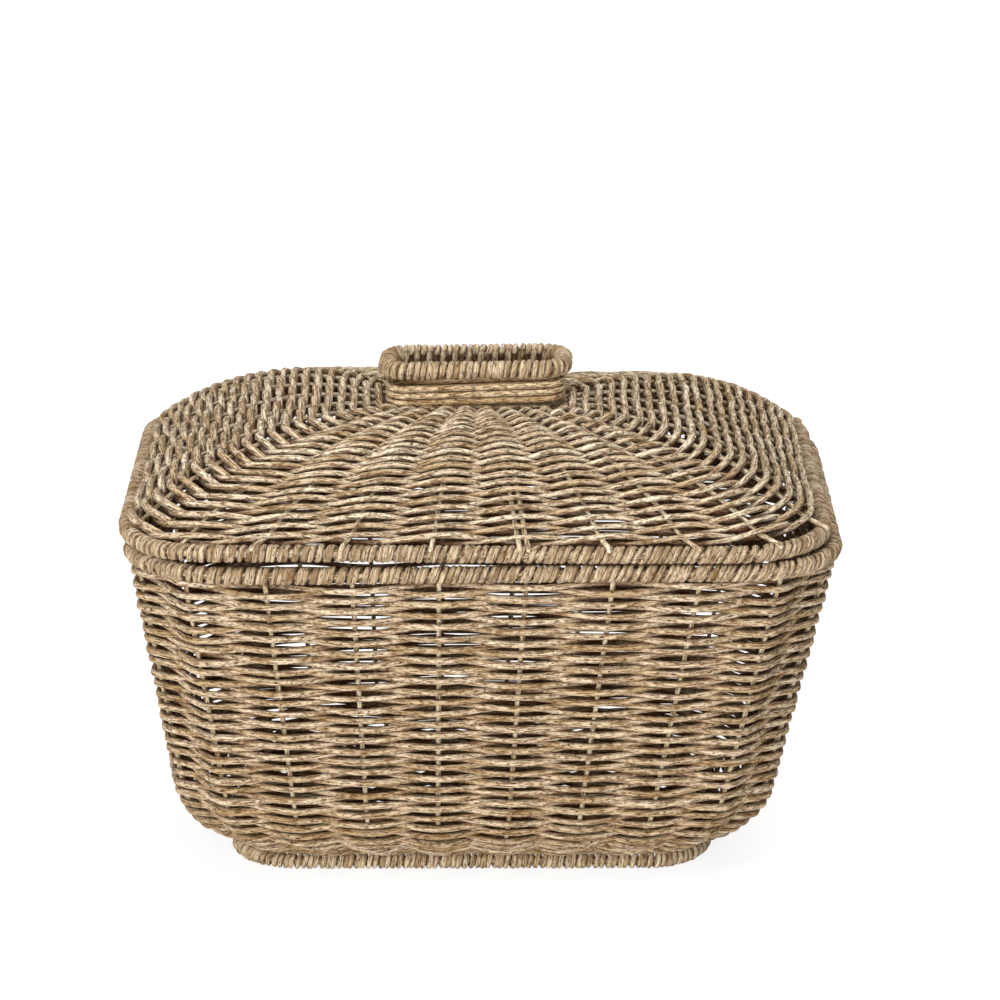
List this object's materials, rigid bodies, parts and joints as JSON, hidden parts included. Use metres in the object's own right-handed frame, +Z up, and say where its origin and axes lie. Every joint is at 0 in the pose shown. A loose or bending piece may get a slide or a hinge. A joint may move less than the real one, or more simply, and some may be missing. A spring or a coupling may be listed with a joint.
{
  "type": "woven lidded box",
  "caption": "Rectangular woven rattan box with rounded corners, tapered walls on a bound foot ring, and a domed lift-off lid with a wound ring handle.",
  "frame": {"origin": "middle of the foot ring's underside, on the surface the box stands on", "axes": "+X along the long side, -Y out of the front, +Z up"},
  "size_m": [0.43, 0.33, 0.2989],
  "materials": {
    "reed": "unvarnished greyish tan rattan weaving reed",
    "stake": "paler bare rattan reed",
    "binding": "tan rattan binding strand with darker edges"
  },
  "bodies": {
    "basket": {"base_weave": "reed", "foot_binding": "binding", "foot_hoop": "reed", "rim_binding": "binding", "rim_hoop": "reed", "stake_corner_1": "stake", "stake_corner_2": "stake", "stake_corner_3": "stake", "stake_corner_4": "stake", "stake_corner_5": "stake", "stake_corner_6": "stake", "stake_corner_7": "stake", "stake_corner_8": "stake", "stake_cross_1": "stake", "stake_cross_2": "stake", "stake_cross_3": "stake", "stake_cross_4": "stake", "stake_cross_5": "stake", "stake_cross_6": "stake", "stake_long_1": "stake", "stake_long_2": "stake", "stake_long_3": "stake", "stake_long_4": "stake", "upsett_weave": "reed", "wall_weave": "reed"},
    "lid": {"collar_reed_1": "stake", "collar_reed_2": "stake", "collar_reed_3": "stake", "crown_mat": "reed", "handle_binding": "binding", "handle_hoop": "reed", "lid_rim_binding": "binding", "lid_rim_hoop": "reed", "lid_weave": "reed", "rib_corner_1": "stake", "rib_corner_2": "stake", "rib_corner_3": "stake", "rib_corner_4": "stake", "rib_corner_5": "stake", "rib_corner_6": "stake", "rib_corner_7": "stake", "rib_corner_8": "stake", "rib_cross_1": "stake", "rib_cross_2": "stake", "rib_cross_3": "stake", "rib_cross_4": "stake", "rib_cross_5": "stake", "rib_cross_6": "stake", "rib_long_1": "stake", "rib_long_2": "stake", "rib_long_3": "stake", "rib_long_4": "stake"}
  },
  "joints": [
    {"name": "lid_lift", "type": "slide", "parent": "basket", "child": "lid", "axis": [0, 0, 1], "range_m": [0, 0.3]}
  ]
}
